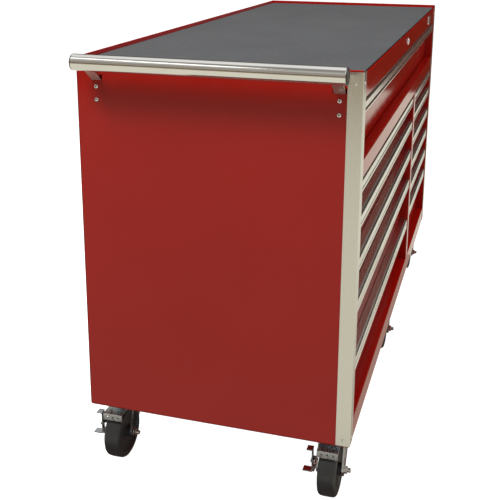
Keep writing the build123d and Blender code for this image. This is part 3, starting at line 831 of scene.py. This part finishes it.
def tray(bm, x_low, x_high, y_low, y_high, z_low, z_high):
    """Open tray whose walls end in a rolled hem."""
    outside = [
        (2.0 * mm, z_low), (0.6 * mm, z_low + 0.5 * mm), (0, z_low + 2.0 * mm),
        (0, z_high - 2.4 * tray_hem_radius),
    ]
    for i in range(4):
        angle = math.radians(30 * i - 90)
        rise = tray_hem_radius * (1 - math.sin(angle))
        outside.append((-tray_hem_bulge * math.cos(angle), z_high - rise))
    outside.append((0.1 * mm, z_high))
    floor_top = z_low + sheet
    inside = [
        (sheet - 0.3 * mm, z_high), (sheet, z_high - 0.5 * mm), (sheet, floor_top + 2.0 * mm),
        (sheet + 0.6 * mm, floor_top + 0.6 * mm), (sheet + 2.0 * mm, floor_top),
    ]
    rings = []
    for levels, radius in ((outside, 2.5 * mm), (inside, 2.0 * mm)):
        for inset, z in levels:
            outline = rectangle(x_low + inset, x_high - inset, y_low + inset, y_high - inset, radius)
            rings.append(section(outline, along_z, z))
    loft(bm, rings)


def pull_outline(face_y, level):
    """Section of the extruded pull: ledge, convex lip, groove, bottom bead, hook and foot."""
    corners = [
        (-14, 0, 0), (28, 0, 9), (27.4, -23.5, 0.8), (25.9, -25.2, 0.7), (27.2, -27.4, 1.2),
        (28, -31, 3), (27.4, -36, 2), (21, -36, 1), (21, -33.8, 1), (25.0, -33.8, 1), (23.6, -28, 2),
        (23.6, -24, 2), (25.7, -20, 3), (25.7, -2.2, 6.4), (2.3, -2.2, 1.2), (2.3, -16, 0.9),
        (0.1, -16, 0.9), (0.1, -2.2, 0), (-14, -2.2, 0),
    ]
    return [(face_y - p.x, level + p.y) for p in rounded(in_mm(corners))]


def plug_outline(face_y, level):
    """Section of the plastic plug that closes the end of a pull."""
    corners = [
        (-13.5, 0, 0.5), (28, 0, 9), (28, -36, 2.5), (20.5, -36, 2.5), (14, -24, 5),
        (3.5, -16, 2), (0.1, -16, 0.5), (0.1, -2.4, 0.5), (-13.5, -2.4, 0.5),
    ]
    return [(face_y - p.x, level + p.y) for p in rounded(in_mm(corners))]


def channel(bm, edge, web, z_middle, height, thickness, radius, y_start, length):
    """C channel along Y with rounded bends, as slide members are; edge and web are X places."""
    half = height / 2 - thickness / 2
    bottom, over = z_middle - half, z_middle + half
    path = [(edge, bottom, 0), (web, bottom, radius), (web, over, radius), (edge, over, 0)]
    prism(bm, strip(path, thickness), along_y, y_start, y_start + length)


def runner(bm, wall, outward, y_start, z_middle):
    """Slide member on the drawer's side."""
    web = wall + outward * (0.1 * mm + sheet / 2)
    edge = wall + outward * (box_side_gap - 2.4 * mm)
    channel(bm, edge, web, z_middle, runner_height, sheet, 2.5 * mm, y_start, runner_length)


def liner(bm, x_low, x_high, y_low, y_high, z):
    """Ribbed liner on the drawer floor."""
    rib, height, base = 7 * mm, 0.9 * mm, 1.1 * mm
    count = int((x_high - x_low) / rib)
    start = (x_low + x_high) / 2 - count * rib / 2
    ridge = [(start, z + base)]
    for i in range(count):
        a = start + i * rib
        ridge.extend((
            (a + 0.25 * rib, z + base), (a + 0.38 * rib, z + base + height),
            (a + 0.62 * rib, z + base + height), (a + 0.75 * rib, z + base),
        ))
    ridge.append((start + count * rib, z + base))
    outline = ridge + [(start + count * rib, z), (start, z)]
    prism(bm, outline, along_y, y_low, y_high)


def drawer(name):
    """Everything that slides out with one drawer."""
    box_low, box_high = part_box(f"{name}_box")
    pull_low, pull_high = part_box(f"{name}_pull")
    face_y = box_low.y
    level = pull_high.z
    x_low, x_high = box_low.x, box_high.x
    bay_low, bay_high = x_low - face_side_gap, x_high + face_side_gap
    bm = bmesh.new()
    drawer_face(bm, x_low, x_high, box_low.z, box_high.z, face_y)
    tray_x = (bay_low + box_side_gap, bay_high - box_side_gap)
    tray_y = (face_y + face_depth - sheet, box_high.y)
    tray_z = (box_low.z + box_floor_rise, level - box_top_drop)
    tray(bm, tray_x[0], tray_x[1], tray_y[0], tray_y[1], tray_z[0], tray_z[1])
    piece(f"{name}_tray", bm, paint, name, [f"{name}_box"])

    bm = bmesh.new()
    for wall, outward in ((tray_x[0], -1), (tray_x[1], 1)):
        runner(bm, wall, outward, face_y + face_depth + 3 * mm, tray_z[0] + runner_rise)
    soften(bm, edge_softness)
    piece(f"{name}_runners", bm, zinc, name)

    bm = bmesh.new()
    prism(bm, pull_outline(face_y, level), along_x, pull_low.x, pull_high.x)
    soften(bm, 0.3 * mm, math.radians(50))
    piece(f"{name}_handle", bm, aluminium, name, [f"{name}_pull"])

    bm = bmesh.new()
    outline = plug_outline(face_y, level)
    prism(bm, outline, along_x, pull_low.x - pull_end_gap, pull_low.x)
    prism(bm, outline, along_x, pull_high.x, pull_high.x + pull_end_gap)
    soften(bm, 0.3 * mm, math.radians(50))
    piece(f"{name}_end_plugs", bm, black_plastic, name)

    gap = sheet + 3 * mm
    bm = bmesh.new()
    liner(bm, tray_x[0] + gap, tray_x[1] - gap, tray_y[0] + gap, tray_y[1] - gap, tray_z[0] + sheet)
    piece(f"{name}_liner", bm, liner_rubber, name)


def slide_channels():
    """Fixed slide members on the bay walls, one on each side of each drawer."""
    bm = bmesh.new()
    for name in drawers:
        box_low, box_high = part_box(f"{name}_box")
        z_middle = box_low.z + box_floor_rise + runner_rise
        y_start = box_low.y + face_depth + 2 * mm
        for wall, inward in ((box_low.x - face_side_gap, 1), (box_high.x + face_side_gap, -1)):
            edge = wall + inward * rail_depth
            web = wall + inward * rail_sheet / 2
            channel(bm, edge, web, z_middle, rail_height, rail_sheet, 2 * mm, y_start, rail_length)
    piece("slide_channels", bm, zinc, "cabinet", ["slide_rails"])


# ---------------------------------------------------------------- casters
def wheel_middle(name):
    """Centre of one wheel."""
    box_low, box_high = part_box(f"{name}_wheel")
    return (box_low + box_high) / 2


def wheel(name):
    """Solid moulded wheel: slightly crowned tread, rounded shoulders, dished sides and a hub."""
    middle = wheel_middle(name)
    side = in_mm([
        (6.1, 30), (9.5, 30), (10.5, 29.3), (11.5, 29.3), (12.2, 30), (16.0, 30), (17.0, 29),
        (17.6, 20.5), (20, 18.2), (24, 17.4), (48, 17.4), (52, 18.2), (55.5, 21.5), (57.5, 24),
        (59.5, 25), (66, 25), (69.5, 24.2), (72.8, 22.2), (75.0, 18.6), (75.6, 14.5), (75.85, 8),
        (75.9, 1.0), (76.0, 0.35),
    ])
    other_side = [(radius, -distance) for radius, distance in reversed(side)]
    bm = bmesh.new()
    tube(bm, side + other_side, middle, (0, 1, 0), 96)
    piece(f"{name}_tyre", bm, tread, f"{name}_wheel", [f"{name}_wheel"], math.radians(30))


def hub_sleeve(bm, middle):
    """Bright bushing that shows at both ends of the hub."""
    profile = in_mm([(6.05, 24), (8.6, 24), (8.6, 31.2), (6.05, 31.2)])
    for outward in (-1, 1):
        tube(bm, profile, middle, (0, outward, 0), 32)


def axle_bolt(bm, middle):
    """Bolt, washers and nut across the fork."""
    start = middle - Vector((0, axle_end, 0))
    outside = leg_outside + 0.1 * mm
    lathe(bm, in_mm([(5.4, 0), (6.0, 0.8), (6.0, 103.2), (5.4, 104)]), start, (0, 1, 0), 32)
    washer_thickness = 1.6 * mm
    washer = in_mm([(11.5, 0), (11.5, 1.2)]) + [(11.0 * mm, washer_thickness)]
    for side in (-1, 1):
        outward = Vector((0, side, 0))
        face = middle + outward * outside
        lathe(bm, washer, face, outward, 32)
        hexagon(bm, face + outward * washer_thickness, outward, 10.5 * mm, 7.0 * mm, 0.9 * mm)


def plate(bm, middle):
    """Mounting plate with rounded corners, just clear of the cabinet's floor."""
    x, y = middle.x, middle.y
    plate_low = (x - plate_half_length, y - plate_half_width, floor - plate_thickness)
    plate_high = (x + plate_half_length, y + plate_half_width, floor - 0.05 * mm)
    block(bm, plate_low, plate_high, 7 * mm)
    soften(bm, 0.6 * mm, math.radians(60))


def plate_bolts(bm, middle):
    """Four hex bolts and washers under one plate."""
    downward = Vector((0, 0, -1))
    washer_thickness = 1.3 * mm
    washer = in_mm([(8.2, 0), (8.2, 1.0)]) + [(7.8 * mm, washer_thickness)]
    for x in (middle.x - bolt_from_middle_x, middle.x + bolt_from_middle_x):
        for y in (middle.y - bolt_from_middle_y, middle.y + bolt_from_middle_y):
            place = Vector((x, y, floor - plate_thickness))
            lathe(bm, washer, place, downward, 24)
            hexagon(bm, place + downward * washer_thickness, downward, 6.4 * mm, 4.2 * mm, 0.6 * mm)


def raceway(bm, middle):
    """Pressed ball race between the plate and the fork crown, and the kingpin."""
    crown = high("front_left_fork").z
    gap = 0.5 * mm
    height = floor - plate_thickness - crown - gap
    shares = [
        (20, 0), (30, 0), (33, 0.06), (35, 0.25), (35, 0.42),
        (33.4, 0.5), (33.4, 0.58), (35, 0.68), (34.5, 0.86), (31, 1.0),
    ]
    race = [(radius * mm, share * height) for radius, share in shares]
    lathe(bm, race, (middle.x, middle.y, crown + gap), (0, 0, 1), 64)
    kingpin = in_mm([(6, 0), (6, 9), (10, 9.2), (10, 12), (7, 13.2)])
    lathe(bm, kingpin, (middle.x, middle.y, crown + 1 * mm), (0, 0, -1), 32)


def swivel_axis(name):
    """Centre of the fork crown: the swivel axis of one corner caster."""
    middle = wheel_middle(name)
    return Vector((middle.x + swivel_trail, middle.y, high(f"{name}_fork").z))


def swivel_casters(bolts):
    """Four casters whose forks swivel under fixed plates; the plate bolts are gathered in bolts."""
    plates = bmesh.new()
    for name in swivels:
        axis = swivel_axis(name)
        one = bmesh.new()
        plate(one, axis)
        raceway(one, axis)
        add_part(plates, one)
        plate_bolts(bolts, axis)
    piece("swivel_plates", plates, zinc, "cabinet", ["caster_plates"])

    for name in swivels:
        middle = wheel_middle(name)
        fork = bmesh.new()
        from_cad(fork, f"{name}_fork", lambda point: is_axle(point, middle))
        soften(fork, 1.2 * mm, math.radians(30), 3)
        piece(f"{name}_yoke", fork, zinc, f"{name}_fork", [f"{name}_fork"])
        hardware = bmesh.new()
        axle_bolt(hardware, middle)
        hub_sleeve(hardware, middle)
        piece(f"{name}_axle", hardware, bright_steel, f"{name}_fork")
        wheel(name)


def rigid_casters(bolts):
    """Two casters fixed to the cabinet; the plate bolts are gathered in bolts."""
    rigid = bmesh.new()
    middles = [wheel_middle(name) for name in rigids]
    from_cad(rigid, "rigid_caster_forks", lambda point: any(is_axle(point, m) for m in middles))
    soften(rigid, 1.0 * mm, math.radians(30), 3)
    piece("rigid_yokes", rigid, zinc, "cabinet", ["rigid_caster_forks"])
    hardware = bmesh.new()
    for name, middle in zip(rigids, middles):
        axle_bolt(hardware, middle)
        hub_sleeve(hardware, middle)
        plate_bolts(bolts, middle)
        wheel(name)
    piece("rigid_axles", hardware, bright_steel, "cabinet")


def casters():
    """All six casters, their plate bolts and the two brake levers."""
    bolts = bmesh.new()
    swivel_casters(bolts)
    rigid_casters(bolts)
    piece("plate_bolt_heads", bolts, bright_steel, "cabinet", ["caster_bolts"])
    for name in ("front_left", "rear_left"):
        lever = bmesh.new()
        from_cad(lever, f"{name}_brake")
        soften(lever, 0.9 * mm, math.radians(30), 3)
        piece(f"{name}_brake_lever", lever, zinc, f"{name}_brake", [f"{name}_brake"])


def is_axle(point, middle):
    """Whether a face's centre lies on the axle bolt or its heads."""
    offset = point - middle
    radius = math.hypot(offset.x, offset.z)
    outside_leg = abs(offset.y) > leg_outside + 0.02 * mm
    return radius < axle_radius + 0.03 * mm or (outside_leg and radius < 10.5 * mm)


# ---------------------------------------------------------------- stage
def stage_plane(name, x_range, y_range, z, material):
    """Horizontal rectangle that isn't part of the object."""
    bm = bmesh.new()
    x_low, x_high = x_range
    y_low, y_high = y_range
    corners = [(x_low, y_low), (x_high, y_low), (x_high, y_high), (x_low, y_high)]
    bm.faces.new([bm.verts.new((x, y, z)) for x, y in corners])
    made = linked_object(name, bm, material)
    return made


def glow(name, color):
    """Plain emission for a card that the camera doesn't see."""
    material = bpy.data.materials.new(name)
    material.use_nodes = True
    nodes = material.node_tree.nodes
    nodes.clear()
    emission = nodes.new("ShaderNodeEmission")
    emission.inputs["Color"].default_value = (*color, 1)
    output = nodes.new("ShaderNodeOutputMaterial")
    material.node_tree.links.new(emission.outputs["Emission"], output.inputs["Surface"])
    return material


def hidden_card(name, x_range, y_range, z, color, in_reflections=True):
    """Glowing patch of floor that shows only in reflections, or else only lights matt surfaces."""
    card = stage_plane(name, x_range, y_range, z, glow(name, color))
    card.visible_camera = False
    card.visible_diffuse = not in_reflections
    card.visible_glossy = in_reflections
    card.visible_shadow = False
    card.visible_transmission = False


def area_light(name, place, target, size_x, size_y, power):
    """Rectangular soft light aimed at a point."""
    data = bpy.data.lights.new(name, "AREA")
    data.shape = "RECTANGLE"
    data.size = size_x
    data.size_y = size_y
    data.energy = power
    made = bpy.data.objects.new(name, data)
    made.location = place
    made.rotation_mode = "QUATERNION"
    made.rotation_quaternion = (Vector(target) - Vector(place)).to_track_quat("-Z", "Y")
    bpy.context.scene.collection.objects.link(made)
    return made


def studio_floor():
    """Pale floor that the camera sees, and hidden cards on it for bounce and reflections, two of them
    painted floor shadow near the chest that shows only in reflections.
    """
    material, tree, shader = new_material("studio_floor", Roughness=0.9, IOR=1.2, Emission_Strength=0.62)
    shader.inputs["Emission Color"].default_value = (1, 1, 1, 1)
    shade = tint(tree, noise(tree, 0.6, 2), (0.84, 0.84, 0.84), (0.86, 0.86, 0.86))
    tree.links.new(shade, shader.inputs["Base Color"])
    ground = stage_plane("studio_floor", (-60, 60), (-60, 60), 0, material)
    ground.visible_diffuse = False
    ground.visible_glossy = False

    edge = 59
    whole = (-edge, edge)
    paper_start, paper_end = -6.2, 5.3
    shadow_edge = front - 0.02
    # The cards lie at three heights, so that each one covers those under it.
    first, second, third = 0.001, 0.002, 0.003
    hidden_card("matt_bounce", whole, whole, first, (0.56, 0.56, 0.56), in_reflections=False)
    hidden_card("white_paper", (paper_start, paper_end), whole, second, (0.83, 0.80, 0.68))
    # Painted shadow: a dark card under the chest stands for the floor's shade there, seen only in
    # reflections.
    beneath = (left - 0.22, right + 0.1)
    hidden_card("painted_shadow_under_chest", beneath, (shadow_edge, rear + 0.1), third, (0.10, 0.06, 0.05))
    # Painted shadow: a dimmer strip in front of the chest stands for the floor's contact shade there,
    # seen only in reflections.
    hidden_card("painted_shadow_before_chest", (left, right), (front - 0.20, shadow_edge), third, (0.46, 0.38, 0.31))
    hidden_card("far_side", (paper_end, edge), whole, second, (0.085, 0.020, 0.010))
    hidden_card("handle_side", (-edge, paper_start), whole, second, (0.35, 0.26, 0.17))


def lamps():
    """Soft lights; only the fill and a weak glint show in reflections."""
    overhead = area_light("overhead", (0.4, 0.2, 4.2), (0.4, 0.2, 0.8), 3.6, 3.0, 120)
    overhead.visible_glossy = False
    area_light("fill", (0.3, -3.4, 2.4), (0.2, front, 0.6), 3.0, 1.6, 45)
    key = area_light("key", (-2.6, 1.1, 3.9), (left, 0, 1.0), 1.8, 0.9, 124)
    key.visible_glossy = False
    glint = area_light("glint", (-2.6, 1.5, 3.9), (left, 0, 1.0), 1.6, 0.7, 5.5)
    glint.visible_diffuse = False


def surroundings():
    """World that glossy parts reflect, brighter upwards and darker on the handle's side.

    Every other ray sees an even grey.
    """
    world = bpy.data.worlds.new("surroundings")
    bpy.context.scene.world = world
    world.use_nodes = True
    tree = world.node_tree
    nodes, links = tree.nodes, tree.links
    nodes.clear()
    output = nodes.new("ShaderNodeOutputWorld")
    place = nodes.new("ShaderNodeTexCoord")
    axes = nodes.new("ShaderNodeSeparateXYZ")
    links.new(place.outputs["Generated"], axes.inputs["Vector"])
    upward = ramp(tree, axes.outputs["Z"], [
        (0.0, (0.03, 0.016, 0.012)), (0.30, (0.035, 0.018, 0.013)), (0.48, (0.30, 0.28, 0.26)),
        (0.62, (0.85, 0.85, 0.84)), (1.0, (1.0, 1.0, 1.0)),
    ])
    handle_side = ramp(tree, axes.outputs["Z"], [
        (0.0, (0.02, 0.018, 0.016)), (0.05, (0.02, 0.018, 0.016)), (0.09, (0.42, 0.38, 0.33)),
        (0.40, (0.34, 0.31, 0.27)), (0.62, (0.60, 0.59, 0.56)), (0.86, (0.30, 0.29, 0.27)),
    ])
    sideways = nodes.new("ShaderNodeMapRange")
    sideways.inputs["From Min"].default_value = 0.05
    sideways.inputs["From Max"].default_value = -0.15
    links.new(axes.outputs["X"], sideways.inputs["Value"])
    glossy_mix = nodes.new("ShaderNodeMixRGB")
    links.new(sideways.outputs["Result"], glossy_mix.inputs["Fac"])
    links.new(upward, glossy_mix.inputs["Color1"])
    links.new(handle_side, glossy_mix.inputs["Color2"])
    rays = nodes.new("ShaderNodeLightPath")
    choice = nodes.new("ShaderNodeMixRGB")
    choice.inputs["Color1"].default_value = (0.42, 0.42, 0.42, 1)
    links.new(rays.outputs["Is Glossy Ray"], choice.inputs["Fac"])
    links.new(glossy_mix.outputs["Color"], choice.inputs["Color2"])
    background = nodes.new("ShaderNodeBackground")
    links.new(choice.outputs["Color"], background.inputs["Color"])
    links.new(background.outputs["Background"], output.inputs["Surface"])


def camera():
    """View from the handle end, a little above the top, along the drawer fronts."""
    place = (-2.8803, -0.6786, 1.4918)
    yaw, pitch, roll = (math.radians(angle) for angle in (16.51, -14.366, 0.347))
    ahead = Vector((math.cos(pitch) * math.cos(yaw), math.cos(pitch) * math.sin(yaw), math.sin(pitch)))
    side = Vector((math.sin(yaw), -math.cos(yaw), 0))
    above = side.cross(ahead)
    turned_side = math.cos(roll) * side + math.sin(roll) * above
    turned_above = turned_side.cross(ahead)
    axes = Matrix((turned_side, turned_above, -ahead)).transposed()
    data = bpy.data.cameras.new("view")
    data.sensor_width = 36
    data.lens = 61.603
    data.shift_y = -0.20
    made = bpy.data.objects.new("view", data)
    made.matrix_world = Matrix.Translation(place) @ axes.to_4x4()
    bpy.context.scene.collection.objects.link(made)
    bpy.context.scene.camera = made
    bpy.context.scene.view_settings.view_transform = "Standard"


# ---------------------------------------------------------------- assembly
camera()
side_panel("handle_end_panel", "left_side_panel", left, 1)
side_panel("far_end_panel", "right_side_panel", right, -1)
lid()
mat()
front_rails()
divider()
plain_sheets()
corner_trims()
rivets()
handle()
lock()
badge()
for drawer_name in drawers:
    drawer(drawer_name)
slide_channels()
casters()
studio_floor()
lamps()
surroundings()
